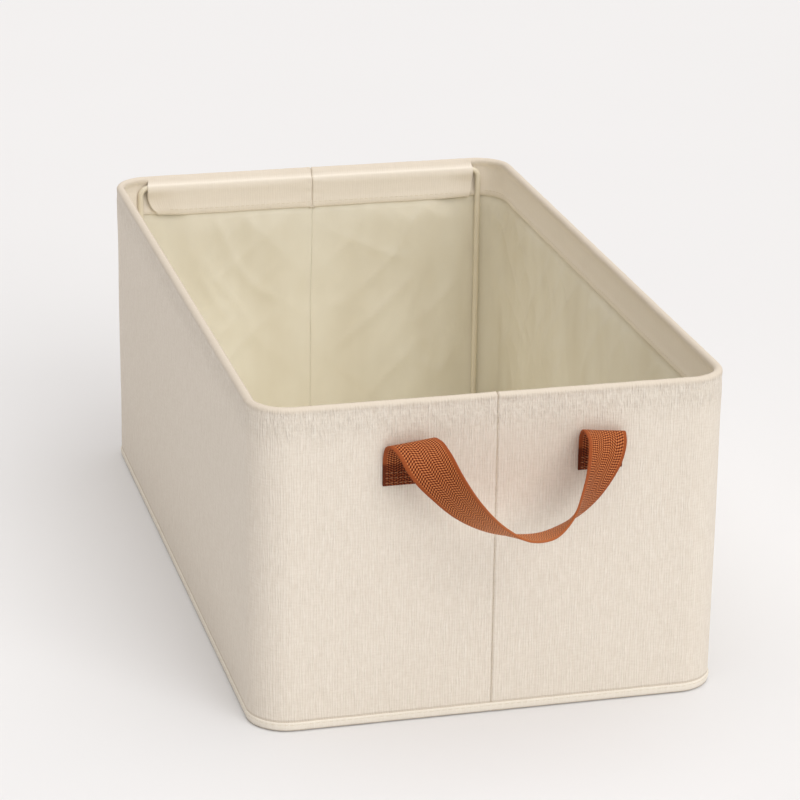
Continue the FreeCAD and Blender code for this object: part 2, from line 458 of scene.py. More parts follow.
class Finishes:
    """Every material of the bin, made once."""

    def __init__(self) -> None:
        """Build the materials."""
        self.linen = LinenFinish().build()
        self.tape = LinenFinish("linen_tape", srgb(250, 244, 233), srgb(236, 228, 214), rib=0.8 * MM,
                                tuck=-2 * MM, depth=0.05 * MM).build()
        self.lining = LiningFinish().build()
        self.webbing = WebbingFinish().build()
        self.wire = WireFinish().build()
        self.board = BoardFinish().build()
        self.patch = PatchFinish().build()
        self.seam_thread = ThreadFinish("cream_thread", srgb(238, 230, 214), srgb(214, 202, 180)).build()
        self.tack_thread = ThreadFinish("tan_thread", srgb(196, 140, 96), srgb(150, 92, 56)).build()


# ---- Where things are ------------------------------------------------------------------------------
@dataclass(frozen=True)
class BinSizes:
    """Sizes of the bin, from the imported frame. An inset is the distance in from the overall size."""

    half_width: float
    half_depth: float
    height: float
    corner: float
    linen: float
    lining: float
    rim_inset: float
    rim_z: float
    rim_radius: float
    leg_x: float
    leg_inset: float
    leg_radius: float
    bar_z: float
    hem_z: float
    floor_z: float
    board_low: float

    @classmethod
    def from_frame(cls) -> "BinSizes":
        """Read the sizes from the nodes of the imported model."""
        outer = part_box("bottom_binding")[1]
        rim_low, rim_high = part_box("rim_wire")
        leg_low, leg_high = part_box("back_leg_frame")
        rim_radius = (rim_high.z - rim_low.z) / 2
        leg_radius = (leg_high.y - leg_low.y) / 2
        return cls(
            half_width=outer.x,
            half_depth=outer.y,
            height=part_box("outer_panel_left")[1].z,
            corner=26 * MM,
            linen=0.8 * MM,
            lining=0.6 * MM,
            rim_inset=outer.x - rim_high.x + rim_radius,
            rim_z=rim_high.z - rim_radius,
            rim_radius=rim_radius,
            leg_x=leg_high.x - leg_radius,
            leg_inset=outer.y - leg_high.y + leg_radius,
            leg_radius=leg_radius,
            bar_z=leg_high.z - leg_radius,
            hem_z=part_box("band_hem_thread")[0].z - 1.5 * MM,
            floor_z=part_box("lining_bottom")[1].z,
            board_low=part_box("base_board")[0].z,
        )


@dataclass(frozen=True)
class WallPath:
    """The way round half the bin: from the front seam, along one side, to the back seam."""

    sizes: BinSizes
    side: int

    @cached_property
    def end_run(self) -> float:
        """Length of the straight stretch from a seam to its corner."""
        return self.sizes.half_width - self.sizes.corner

    @cached_property
    def corner_run(self) -> float:
        """Length round a corner."""
        return self.sizes.corner * math.pi / 2

    @cached_property
    def length(self) -> float:
        """Length from seam to seam."""
        return 2 * (self.end_run + self.corner_run + self.sizes.half_depth - self.sizes.corner)

    def from_seam(self, along: float) -> float:
        """Distance to the nearer seam."""
        return min(along, self.length - along)

    def place(self, along: float, inset: float, height: float) -> Vector:
        """A point of the wall.

        Args:
            along: Distance from the front seam, round the outside.
            inset: Distance in from the overall size.
            height: Height over the floor.

        Returns:
            The point in the bin's frame.
        """
        sizes = self.sizes
        run = self.from_seam(along)
        turn = (run - self.end_run) / sizes.corner
        if turn < 0:
            x, y = run, -sizes.half_depth + inset
        elif turn < math.pi / 2:
            reach = sizes.corner - inset
            x = self.end_run + reach * math.sin(turn)
            y = sizes.corner - sizes.half_depth - reach * math.cos(turn)
        else:
            x = sizes.half_width - inset
            y = sizes.corner - sizes.half_depth + run - self.end_run - self.corner_run
        back = -1 if along > self.length / 2 else 1
        return Vector((self.side * x, back * y, height))


class SmoothLine:
    """A smooth line through given points, by the number of the point."""

    def __init__(self, points: Sequence[Sequence[float]]) -> None:
        """Keep the points and the distances between them."""
        self.points = [Vector((*p, 0.0)[:3]) for p in points]
        self.last = len(self.points) - 1

    def at(self, t: float) -> Vector:
        """The point at number t, which may be between two points."""
        i = min(int(t), self.last - 1)
        share = t - i
        a, b = self.points[i], self.points[i + 1]
        chord = (b - a).length
        out = self._slope(i) * chord
        into = self._slope(i + 1) * chord
        s2, s3 = share * share, share ** 3
        return (a * (2 * s3 - 3 * s2 + 1) + out * (s3 - 2 * s2 + share)
                + b * (3 * s2 - 2 * s3) + into * (s3 - s2))

    def _slope(self, i: int) -> Vector:
        """The line's direction at one of its points, for a unit of length."""
        before = self.points[i] - self.points[i - 1] if i > 0 else None
        after = self.points[i + 1] - self.points[i] if i < self.last else None
        if before is None or after is None:
            return (after if before is None else before).normalized()
        lengths = before.length, after.length
        slope = before / lengths[0] * lengths[1] + after / lengths[1] * lengths[0]
        return slope / sum(lengths)

    def normal(self, t: float) -> Vector:
        """The unit normal of a flat line, a quarter turn left of the way it runs."""
        step = 1e-3
        way = self.at(min(t + step, self.last)) - self.at(max(t - step, 0.0))
        return Vector((-way.y, way.x, 0.0)).normalized()

    def stations(self, splits: Sequence[int]) -> list[float]:
        """Numbers along the line, with each span cut into the given count."""
        found = [0.0]
        for i, count in enumerate(splits):
            found += [i + k / count for k in range(1, count + 1)]
        return found

    def lengths(self, stations: Sequence[float]) -> list[float]:
        """Distance along the line at each station."""
        total, found, last = 0.0, [], self.at(stations[0])
        for t in stations:
            here = self.at(t)
            total += (here - last).length
            found.append(total)
            last = here
        return found


# ---- Mesh work -------------------------------------------------------------------------------------
def cut_cloth(columns: Sequence[float], rows: Sequence[float]) -> BMesh:
    """Cut a flat piece of cloth.

    Args:
        columns: Places of its upright mesh lines, in metres.
        rows: Places of its level mesh lines, in metres.

    Returns:
        A flat grid whose UV map "cloth" holds those metres; each vertex keeps its column and row number.
    """
    bm = bmesh.new()
    across, up = len(columns) - 1, len(rows) - 1
    bmesh.ops.create_grid(bm, x_segments=across, y_segments=up, size=1.0)
    column = bm.verts.layers.int.new("column")
    row = bm.verts.layers.int.new("row")
    for vert in bm.verts:
        vert[column] = round((vert.co.x + 1) / 2 * across)
        vert[row] = round((vert.co.y + 1) / 2 * up)
        vert.co = (columns[vert[column]], rows[vert[row]], 0.0)
    uv = bm.loops.layers.uv.new("cloth")
    for face in bm.faces:
        face.smooth = True
        for loop in face.loops:
            loop[uv].uv = loop.vert.co.xy
    return bm


def thicken(bm: BMesh, thickness: float) -> None:
    """Give a sheet its thickness, behind the face it has."""
    bm.normal_update()
    bmesh.ops.solidify(bm, geom=bm.faces[:], thickness=thickness)
    for face in bm.faces:
        face.smooth = True


def to_piece(bm: BMesh, name: str, material: bpy.types.Material) -> bpy.types.Object:
    """Turn a finished mesh into a piece of the scene."""
    mesh = bpy.data.meshes.new(name)
    bm.to_mesh(mesh)
    bm.free()
    mesh.materials.append(material)
    piece = bpy.data.objects.new(name, mesh)
    bpy.context.scene.collection.objects.link(piece)
    return piece


def dress(piece: bpy.types.Object, body: str, slot: str, *nodes: str) -> bpy.types.Object:
    """Fix a piece to a body and hide the CAD nodes it stands for."""
    if "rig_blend" not in piece:
        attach(piece, body)
    if nodes:
        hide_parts(*nodes)
    log.info("%-24s %7d faces, on %s", piece.name, len(piece.data.polygons), body)
    return piece


@dataclass(frozen=True)
class Stitch:
    """One stitch: where its middle is, which way it runs, which way is out, and how long it shows."""

    middle: Vector
    way: Vector
    out: Vector
    length: float

    def place(self, thread: float) -> Matrix:
        """Where a ball of radius 1 goes to become this stitch, in the given thread."""
        way = self.way.normalized()
        side = self.out.cross(way).normalized()
        turn = Matrix((side, way.cross(side), way)).transposed().to_4x4()
        size = Matrix.Diagonal((thread / 2, thread / 2, self.length / 2, 1.0))
        return Matrix.Translation(self.middle) @ turn @ size


def sew(name: str, stitches: Sequence[Stitch], thread: float,
        material: bpy.types.Material) -> bpy.types.Object:
    """Make a row of stitches as one piece.

    Args:
        name: The piece's name.
        stitches: The stitches.
        thread: The thread's diameter.
        material: The thread's material.

    Returns:
        The piece, with one small spindle for each stitch.
    """
    seam = bmesh.new()
    batch = 40
    for first in range(0, len(stitches), batch):
        part = bmesh.new()
        for stitch in stitches[first:first + batch]:
            bmesh.ops.create_uvsphere(part, u_segments=6, v_segments=5, radius=1.0,
                                      matrix=stitch.place(thread))
        mesh = bpy.data.meshes.new("stitches")
        part.to_mesh(mesh)
        part.free()
        seam.from_mesh(mesh)
        bpy.data.meshes.remove(mesh)
    for face in seam.faces:
        face.smooth = True
    return to_piece(seam, name, material)


# ---- The linen shell -------------------------------------------------------------------------------
class BandPart(Enum):
    """Parts of the band inside the rim."""

    FLAP = "in front of a leg frame's top bar"
    CORNER = "behind the legs and round the corner"


@dataclass
class LinenShell:
    """Outer walls of linen, turned over the rim wire and hemmed inside, on a linen base."""

    sizes: BinSizes
    finishes: Finishes
    end_step: float = 1.3 * MM
    side_step: float = 2.6 * MM
    slit: float = 123.0 * MM
    pucker: float = 0.26 * MM
    swell: float = 0.5 * MM
    seam_groove: float = 1.0 * MM
    seam_width: float = 0.8 * MM
    stitch: float = 3.0 * MM
    stitch_gap: float = 0.9 * MM
    thread: float = 0.45 * MM
    flap_blend: float = 9.0 * MM
    flap_free: float = 30.0 * MM
    flap_dip: float = 2.6 * MM
    flap_dip_reach: float = 26.0 * MM
    corner_lift: float = 1.6 * MM
    corner_lift_reach: float = 3.5 * MM
    overlap: float = 9.0 * MM
    overlap_reach: float = 16.0 * MM
    unstitched: float = 13.0 * MM
    splits: tuple[int, ...] = (14, 14, 14, 6, 4, 3, 2, 3, 3, 3, 3, 3, 2, 2, 3, 4, 4, 4, 2, 2, 2, 2, 2)
    common: int = 12
    outer_wall: int = 6

    def __post_init__(self) -> None:
        """Lay out the cloth's section at the sides, at the corners and at the flap."""
        rim = Vector((self.sizes.rim_inset, self.sizes.rim_z))
        roll = self.sizes.rim_radius + self.sizes.linen / 2 + 0.3 * MM
        low = self.sizes.board_low
        wall = [(1.0, 0.0), (1.0, 60.0), (1.0, 120.0), (1.0, 180.0), (0.9, 195.0), (1.05, 201.5),
                (1.25, 204.4)]
        start = [(inset * MM, max(up * MM, low)) for inset, up in wall]
        start += [self.around(rim, roll, turn) for turn in (-20, 20, 60)]
        bar = Vector((self.sizes.leg_inset, self.sizes.bar_z))
        over = self.sizes.leg_radius + self.sizes.linen / 2 + 0.3 * MM
        upright = [self.around(rim, roll, turn) for turn in (90, 120, 160)]
        lining = 4.1 * MM
        behind = 3.5 * MM
        side = upright + [(5.5 * MM, 205.6 * MM), (5.0 * MM, 203.4 * MM), (4.7 * MM, 200.5 * MM),
                          (4.5 * MM, 195.0 * MM), (4.4 * MM, 189.0 * MM)]
        corner = upright + [(5.3 * MM, 206.2 * MM), (4.2 * MM, 204.6 * MM), (behind, 201.5 * MM),
                            (behind, 195.0 * MM), (behind, 189.0 * MM)]
        flap = [self.around(rim, roll, turn) for turn in (85, 110, 130)]
        flap += [self.around(bar, over, turn) for turn in (112, 140, 178)]
        flap += [(bar.x + over - 0.1 * MM, 195.5 * MM), (bar.x + over - 0.3 * MM, 189.0 * MM)]
        shapes = {
            "side": side + self.hem(lining + 0.3 * MM),
            "corner": corner + self.hem(behind + 0.1 * MM),
            "flap": flap + self.hem(bar.x + over - 0.5 * MM),
        }
        lines = {name: SmoothLine(start + points) for name, points in shapes.items()}
        self.splits = self.splits[:lines["side"].last]
        self.stations = lines["side"].stations(self.splits)
        self.rows = lines["side"].lengths(self.stations)
        self.sections = {
            name: [(line.at(station), line.normal(station)) for station in self.stations]
            for name, line in lines.items()
        }

    def around(self, centre: Vector, radius: float, turn: float) -> tuple[float, float]:
        """A point of the section round a wire, by degrees from the outside over the top."""
        angle = math.radians(turn)
        return centre.x - radius * math.cos(angle), centre.y + radius * math.sin(angle)

    def hem(self, inset: float) -> list[tuple[float, float]]:
        """The band's turned hem, from its lower edge back up behind it."""
        low = self.sizes.hem_z
        return [(inset, low - 1.2 * MM), (inset - 0.42 * MM, low - 1.8 * MM),
                (inset - 0.84 * MM, low - 1.2 * MM), (inset - 0.84 * MM, low + 1.4 * MM)]

    def columns(self, path: WallPath) -> list[float]:
        """Places of the cloth's upright mesh lines, closest at the seams and on the end walls."""
        near = [0.0, 0.35 * MM, 0.8 * MM, 1.4 * MM, 2.2 * MM]
        end = evenly(3.2 * MM, self.slit, self.end_step)
        corner = evenly(self.slit, path.end_run + path.corner_run, self.end_step)[1:]
        first = near + end + corner
        side = evenly(first[-1], path.length - first[-1], self.side_step)[1:-1]
        return first + side + [path.length - run for run in reversed(first)]

    def relief(self, path: WallPath, along: float, station: float, height: float) -> float:
        """How far the cloth stands off its smooth shape.

        Args:
            path: The way round the wall.
            along: Distance from the front seam.
            station: Number along the cloth's section.
            height: Height over the floor.

        Returns:
            The distance, out of the cloth's face.
        """
        seed = 3.7 * path.side
        run = path.from_seam(along)
        outside = 1.0 - ease(self.outer_wall, self.outer_wall + 2, station)
        inside = ease(self.common - 1, self.common + 1, station)
        gathered = outside * ease(0.184, 0.204, height) + 0.45 * (1 - outside) * (1 - inside)
        gathered += 0.10 * inside * ease(0.190, 0.205, height)
        crinkle = ripple(along / 0.0030, height / 0.009, seed)
        crinkle += 0.5 * ripple(along / 0.012, height / 0.005, seed + 5)
        body = outside * ease(0.004, 0.05, height) * ease(0.204, 0.170, height)
        swell = ripple(along / 0.085, height / 0.07, seed) + 0.35 * ripple(along / 0.03, height / 0.05, seed)
        upright = ripple(along / 0.0065, height / 0.09, seed + 9) * (1 - inside)
        seam = -self.seam_groove * (1 - ease(0.0, self.seam_width, run))
        tug = 0.00030 * math.exp(-run / 0.007) * math.sin(height / 0.0011 + 2.0 * ripple(height / 0.03, seed))
        hang = ripple(along / 0.022, height / 0.03, seed + 2) * inside * 0.00030
        return (self.pucker * gathered * crinkle + self.swell * body * swell + 0.00010 * upright
                + seam + tug * ease(0.0, 0.001, run) + hang)

    def flap_edge(self, path: WallPath, along: float, height: float) -> float:
        """How far the flap reaches from the seam at a height; its lower corners are cut round."""
        back, left = along > path.length / 2, path.side < 0
        round_x, round_z = {
            (True, True): (9.0 * MM, 17.0 * MM),
            (True, False): (2.0 * MM, 6.0 * MM),
            (False, True): (4.0 * MM, 9.0 * MM),
            (False, False): (8.0 * MM, 14.0 * MM),
        }[(back, left)]
        drop = min(max((self.sizes.hem_z + round_z - height) / round_z, 0.0), 1.0)
        return self.slit + 1.2 * MM - round_x * (1 - math.sqrt(1 - drop * drop * 0.98))

    def wrap(self, path: WallPath, along: float, row: int, part: BandPart) -> Vector:
        """Where a point of the flat cloth goes.

        Args:
            path: The way round the wall.
            along: Distance from the front seam on the flat cloth.
            row: The mesh line's number up the cloth.
            part: Which part of the band the point belongs to.

        Returns:
            The place of the cloth's outer face.
        """
        station = self.stations[row]
        run = path.from_seam(along)
        flap = ease(self.slit + self.flap_blend, self.slit - self.flap_blend, run)
        free = ease(self.common, self.common + 1.0, station)
        flap = mix(flap, 1.0 if part is BandPart.FLAP else 0.0, free)
        round_side = ease(path.end_run + 0.2 * path.corner_run, path.end_run + path.corner_run, run)
        place, out = self.sections["corner"][row]
        for name, share in (("side", round_side), ("flap", flap)):
            other_place, other_out = self.sections[name][row]
            place, out = place.lerp(other_place, share), out.lerp(other_out, share)
        place = place + Vector((self.lean(run, place.y, part) * free, 0.0, 0.0))
        place = place + out.normalized() * (self.sizes.linen / 2 + self.relief(path, along, station, place.y))
        if station > self.common:
            run = self.shift(path, along, run, place.y, part, station)
        here = path.length - run if along > path.length / 2 else run
        return path.place(here, place.x, place.y)

    def lean(self, run: float, height: float, part: BandPart) -> float:
        """How far the band leans into the bin beside a slit: its flap back, its corner part forward."""
        if part is BandPart.FLAP:
            near = ease(self.slit - self.flap_dip_reach, self.slit, run)
            return -self.flap_dip * near * ease(self.sizes.bar_z - MM, 0.192, height)
        near = ease(self.slit + self.corner_lift_reach, self.slit, run)
        return self.corner_lift * near * ease(0.199, 0.194, height)

    def shift(self, path: WallPath, along: float, run: float, height: float, part: BandPart,
              station: float) -> float:
        """Move the band's points sideways, to open the slit that a leg comes out of."""
        soft = ease(self.common, self.common + 1.5, station)
        if part is BandPart.FLAP:
            free = self.slit - self.flap_free
            edge = self.flap_edge(path, along, height)
            wide = free + (run - free) * (edge - free) / (self.slit - free)
            return run if run < free else mix(run, wide, soft)
        near = 1 - ease(self.slit, self.slit + self.overlap_reach, run)
        return run - self.overlap * near * soft

    def wall(self, side: int) -> bpy.types.Object:
        """Make the left (-1) or right (+1) wall."""
        path = WallPath(self.sizes, side)
        columns = self.columns(path)
        bm = cut_cloth(columns, self.rows)
        column, row = bm.verts.layers.int["column"], bm.verts.layers.int["row"]
        slits = {i for i, run in enumerate(columns) if abs(path.from_seam(run) - self.slit) < 1e-6}
        first = self.stations.index(float(self.common))
        cuts = [e for e in bm.edges
                if e.verts[0][column] == e.verts[1][column] and e.verts[0][column] in slits
                and min(v[row] for v in e.verts) >= first]
        bmesh.ops.split_edges(bm, edges=cuts)
        places = {vert: self.wrap(path, vert.co.x, vert[row], self.part_of(path, vert)) for vert in bm.verts}
        for vert, place in places.items():
            vert.co = place
        if side < 0:
            bmesh.ops.reverse_faces(bm, faces=bm.faces[:])
        thicken(bm, self.sizes.linen)
        name = "left" if side < 0 else "right"
        piece = to_piece(bm, f"linen_wall_{name}", self.finishes.linen)
        return dress(piece, "shell", "linen", f"outer_panel_{name}")

    def part_of(self, path: WallPath, vert: BMVert) -> BandPart:
        """Which part of the band a point of the flat cloth belongs to, from the faces round it."""
        middle = sum(path.from_seam(face.calc_center_median().x) for face in vert.link_faces)
        return BandPart.FLAP if middle / len(vert.link_faces) < self.slit - 1e-5 else BandPart.CORNER

    def seam_stitches(self, end: int) -> bpy.types.Object:
        """The seam's own thread, sunk between the two walls (end is -1 front, +1 back)."""
        low, high = 8 * MM, self.sizes.rim_z - 3 * MM
        pitch = self.stitch + self.stitch_gap
        stitches = []
        for z in evenly(low, high, pitch):
            middle = Vector((0.0, end * (self.sizes.half_depth - 1.2 * MM), z))
            way = Vector((0.25 * MM, 0.0, self.stitch))
            stitches.append(Stitch(middle, way, Vector((0, end, 0)), self.stitch))
        name = "front" if end < 0 else "back"
        piece = sew(f"{name}_seam_stitches", stitches, self.thread, self.finishes.seam_thread)
        return dress(piece, "shell", "seam_thread", f"{name}_seam_thread")

    def hem_stitches(self) -> bpy.types.Object:
        """The row of stitches that holds the band's hem, all round inside."""
        stitches = []
        height = self.sizes.hem_z + 1.9 * MM
        pitch = self.stitch + self.stitch_gap
        station = len(self.splits) - 3.5
        for side in (-1, 1):
            path = WallPath(self.sizes, side)
            for along in evenly(2.5 * MM, path.length - 2.5 * MM, pitch):
                run = path.from_seam(along)
                if abs(run - self.slit) < self.unstitched:
                    continue
                part = BandPart.FLAP if run < self.slit else BandPart.CORNER
                stitches.append(self.hem_stitch(path, along, station, part))
        piece = sew("band_hem_stitches", stitches, self.thread, self.finishes.seam_thread)
        return dress(piece, "shell", "seam_thread", "band_hem_thread")

    def hem_stitch(self, path: WallPath, along: float, station: float, part: BandPart) -> Stitch:
        """One stitch of the hem, lying on the band's face."""
        row = min(range(len(self.stations)), key=lambda i: abs(self.stations[i] - station))
        step = self.stitch / 2
        before = self.wrap(path, along - step, row, part)
        after = self.wrap(path, along + step, row, part)
        middle = self.wrap(path, along, row, part)
        inner = path.place(along, 20 * MM, middle.z)
        out = (inner - middle).normalized()
        return Stitch(middle + out * 0.05 * MM, after - before, out, self.stitch)

    def base(self) -> bpy.types.Object:
        """The linen under the board."""
        piece = floor_sheet("linen_base", self.sizes, 3.0 * MM, self.sizes.board_low - 0.02 * MM,
                            self.sizes.board_low - 0.3 * MM, 0.0, self.finishes.linen)
        return dress(piece, "shell", "linen", "outer_bottom")

    def build(self) -> None:
        """Make every piece of the shell."""
        for side in (-1, 1):
            self.wall(side)
            self.seam_stitches(side)
        self.hem_stitches()
        self.base()


def floor_sheet(name: str, sizes: BinSizes, inset: float, top: float, thickness: float, wave: float,
                material: bpy.types.Material) -> bpy.types.Object:
    """Make a level sheet with the bin's round corners.

    Args:
        name: The piece's name.
        sizes: The bin's sizes.
        inset: Distance in from the overall size.
        top: Height of its upper face.
        thickness: Its thickness.
        wave: How deep its upper face dips, unevenly.
        material: Its material.

    Returns:
        The piece.
    """
    half_x, half_y = sizes.half_width - inset, sizes.half_depth - inset
    radius = sizes.corner - inset
    step = 5 * MM
    bm = cut_cloth(evenly(-half_x, half_x, step), evenly(-half_y, half_y, step))
    for vert in bm.verts:
        x, y = vert.co.xy
        over_x, over_y = abs(x) - half_x + radius, abs(y) - half_y + radius
        if over_x > 0 and over_y > 0:
            pull = max(over_x, over_y) / math.hypot(over_x, over_y)
            x = math.copysign(half_x - radius + over_x * pull, x)
            y = math.copysign(half_y - radius + over_y * pull, y)
        dip = wave * (0.5 + 0.5 * ripple(x / 0.05, y / 0.06, 4.0))
        vert.co = (x, y, top - dip)
    thicken(bm, thickness)
    return to_piece(bm, name, material)


# ---- The lining ------------------------------------------------------------------------------------
@dataclass
class Lining:
    """Coated lining: two walls joined at the end seams, and a floor."""

    sizes: BinSizes
    finishes: Finishes
    step: float = 3.0 * MM
    inset: float = 3.6 * MM
    tucked: float = 2.5 * MM
    flap_inset: float = 8.2 * MM
    flap_tuck: float = 0.9 * MM
    band_heights: Span = (174.0 * MM, 182.0 * MM)
    hang_heights: Span = (100.0 * MM, 172.0 * MM)
    hem_heights: Span = (176.5 * MM, 181.5 * MM)
    flap_side: Span = (112.0 * MM, 92.0 * MM)
    fine_from: float = 171.0 * MM
    top: float = 192.0 * MM
    hollow: float = 1.7 * MM
    crease: float = 2.2 * MM

    def relief(self, path: WallPath, along: float, height: float) -> float:
        """How far the lining hangs into the bin at a place."""
        seed = 11.0 + 5.0 * path.side
        run = path.from_seam(along)
        free = ease(0.006, 0.05, height) * ease(0.186, 0.165, height)
        if run < path.end_run + path.corner_run:
            free *= ease(6 * MM, 26 * MM, abs(run - self.sizes.leg_x))
        free *= ease(0.0, 0.05, run) * 0.8 + 0.2
        warp = 0.014 * ripple(along / 0.07, height / 0.07, seed)
        creases = 0.0
        for slant, width, weight in ((0.8, 0.034, 1.0), (-1.1, 0.045, 0.8), (0.25, 0.06, 0.6)):
            across = along + slant * height + warp
            line = 1 - abs(ripple(across / width, (height - slant * along) / 0.16, seed + width * 90))
            creases += weight * max(line, 0.0) ** 6
        hollow = self.hollow * (ripple(along / 0.11, height / 0.09, seed) + 0.4)
        fine = 0.25 * MM * ripple(along / 0.016, height / 0.03, seed)
        seam = -0.25 * MM * (1 - ease(0.0, 1.6 * MM, run))
        return free * (max(hollow, -0.5 * MM) + self.crease * creases * 0.6 + fine) + seam

    def hung(self, path: WallPath, along: float, height: float) -> float:
        """Inset of the smooth lining: tucked behind the band, and hung from the flap's hem at the ends."""
        tucked = mix(self.inset, self.tucked, ease(*self.band_heights, height))
        under_flap = ease(*self.flap_side, path.from_seam(along))
        hanging = mix(self.inset, self.flap_inset, ease(*self.hang_heights, height))
        return mix(tucked, hanging - self.flap_tuck * ease(*self.hem_heights, height), under_flap)

    def wall(self, side: int) -> bpy.types.Object:
        """Make the left (-1) or right (+1) wall of the lining."""
        path = WallPath(self.sizes, side)
        near = [0.0, 0.6 * MM, 1.4 * MM]
        first = near + evenly(2.6 * MM, path.end_run + path.corner_run, 2.2 * MM)
        middle = evenly(first[-1], path.length - first[-1], self.step)[1:-1]
        columns = first + middle + [path.length - run for run in reversed(first)]
        rows = evenly(self.sizes.floor_z, self.fine_from, self.step)
        rows += evenly(self.fine_from, self.top, self.step / 2)[1:]
        bm = cut_cloth(columns, rows)
        for vert in bm.verts:
            along, height = vert.co.xy
            inset = self.hung(path, along, height)
            vert.co = path.place(along, inset + self.relief(path, along, height), height)
        if side > 0:
            bmesh.ops.reverse_faces(bm, faces=bm.faces[:])
        thicken(bm, self.sizes.lining)
        name = "left" if side < 0 else "right"
        piece = to_piece(bm, f"lining_wall_{name}", self.finishes.lining)
        self.top - self.sizes.floor_z
        return dress(piece, "shell", "coated_lining", f"lining_{name}")

    def floor(self) -> bpy.types.Object:
        """The lining's floor, on the board."""
        piece = floor_sheet("lining_floor", self.sizes, 3.2 * MM, self.sizes.floor_z, self.sizes.lining * 0.5,
                            0.25 * MM, self.finishes.lining)
        return dress(piece, "shell", "coated_lining", "lining_bottom")

    def build(self) -> None:
        """Make the lining."""
        for side in (-1, 1):
            self.wall(side)
        self.floor()


# ---- The bottom binding ----------------------------------------------------------------------------
@dataclass
class Binding:
    """Linen tape sewn round the bottom edge, swept round the bin in one closed ring."""

    sizes: BinSizes
    finishes: Finishes
    stitch: float = 3.0 * MM
    pitch: float = 4.0 * MM
    thread: float = 0.4 * MM
    stitch_z: float = 4.9 * MM
    cloth: float = 0.35 * MM
    wobble: float = 0.12 * MM
    straight_step: float = 8.0 * MM
    corner_steps: int = 14

    def section(self) -> SmoothLine:
        """The tape's outer face from its upper edge, down and under the wall, as insets and heights."""
        points = [(1.15, 6.5), (0.65, 6.3), (0.15, 5.8), (0.0, 4.8), (0.0, 3.2), (0.35, 1.7), (1.1, 0.7),
                  (2.2, 0.15), (3.6, 0.02)]
        return SmoothLine([(inset * MM, up * MM) for inset, up in points])

    def tape(self) -> bpy.types.Object:
        """Make the tape: its section is drawn along each straight and spun round each corner."""
        line = self.section()
        stations = line.stations((2, 3, 3, 3, 3, 3, 3, 3))
        lengths = line.lengths(stations)
        sizes = self.sizes
        bm = bmesh.new()
        along = bm.verts.layers.float.new("along")
        down = bm.verts.layers.float.new("down")
        verts = []
        for t, length in zip(stations, lengths):
            point = line.at(t)
            vert = bm.verts.new((0.0, -sizes.half_depth + point.x, point.y))
            vert[down] = length
            verts.append(vert)
        edges = [bm.edges.new(pair) for pair in zip(verts, verts[1:])]
        end, side = sizes.half_width - sizes.corner, 2 * (sizes.half_depth - sizes.corner)
        run = 0.0
        centres = [(1, -1), (1, 1), (-1, 1), (-1, -1)]
        straights = [(end, (1, 0)), (side, (0, 1)), (2 * end, (-1, 0)), (side, (0, -1)), (end, (1, 0))]
        for i, (length, way) in enumerate(straights):
            count = max(2, round(length / self.straight_step))
            for _ in range(count):
                made = bmesh.ops.extrude_edge_only(bm, edges=edges)["geom"]
                edges = [g for g in made if isinstance(g, bmesh.types.BMEdge)]
                moved = [g for g in made if isinstance(g, BMVert)]
                step = Vector((*way, 0.0)) * (length / count)
                bmesh.ops.translate(bm, verts=moved, vec=step)
                run += length / count
                for vert in moved:
                    vert[along] = run
            if i == len(centres):
                break
            x, y = centres[i]
            centre = Vector((x * end, y * side / 2, 0.0))
            for _ in range(self.corner_steps):
                made = bmesh.ops.spin(bm, geom=edges, cent=centre, axis=(0, 0, 1), steps=1, use_merge=False,
                                      angle=math.pi / 2 / self.corner_steps)["geom_last"]
                edges = [g for g in made if isinstance(g, bmesh.types.BMEdge)]
                moved = {v for e in edges for v in e.verts}
                run += sizes.corner * math.pi / 2 / self.corner_steps
                for vert in moved:
                    vert[along] = run
        self.map_cloth(bm, along, down, run)
        bmesh.ops.remove_doubles(bm, verts=bm.verts[:], dist=0.02 * MM)
        bmesh.ops.recalc_face_normals(bm, faces=bm.faces[:])
        for vert in bm.verts:
            level = ripple(vert.co.x / 0.02, vert.co.y / 0.02, 2.0) * self.wobble
            level *= ease(0.0, 3 * MM, vert.co.z)
            vert.co += Vector((vert.co.x, vert.co.y, 0)).normalized() * level
        thicken(bm, self.cloth)
        piece = to_piece(bm, "bottom_binding_tape", self.finishes.tape)
        lengths[-1] + 1.0 * MM
        return dress(piece, "shell", "linen", "bottom_binding")

    def map_cloth(self, bm: BMesh, along: object, down: object, total: float) -> None:
        """Write metres along and down the tape to its UV map."""
        uv = bm.loops.layers.uv.new("cloth")
        for face in bm.faces:
            face.smooth = True
            far = max(loop.vert[along] for loop in face.loops) > total / 2
            for loop in face.loops:
                place = loop.vert[along]
                place = total if far and place == 0.0 else place
                loop[uv].uv = (place, loop.vert[down])

    def stitches(self) -> bpy.types.Object:
        """The row of stitches near the tape's upper edge."""
        found = []
        for side in (-1, 1):
            path = WallPath(self.sizes, side)
            for along in evenly(self.pitch / 2, path.length - self.pitch / 2, self.pitch):
                height = self.stitch_z
                middle = path.place(along, 0.0, height)
                way = path.place(along + MM, 0.0, height) - path.place(along - MM, 0.0, height)
                out = middle - path.place(along, 5 * MM, height)
                found.append(Stitch(middle, way, out, self.stitch))
        piece = sew("binding_stitches", found, self.thread, self.finishes.seam_thread)
        return dress(piece, "shell", "seam_thread", "binding_thread")

    def build(self) -> None:
        """Make the tape and its stitches."""
        self.tape()
        self.stitches()


# ---- Handles ---------------------------------------------------------------------------------------
class End(Enum):
    """Which end wall a handle is on."""

    FRONT = "front"
    BACK = "back"


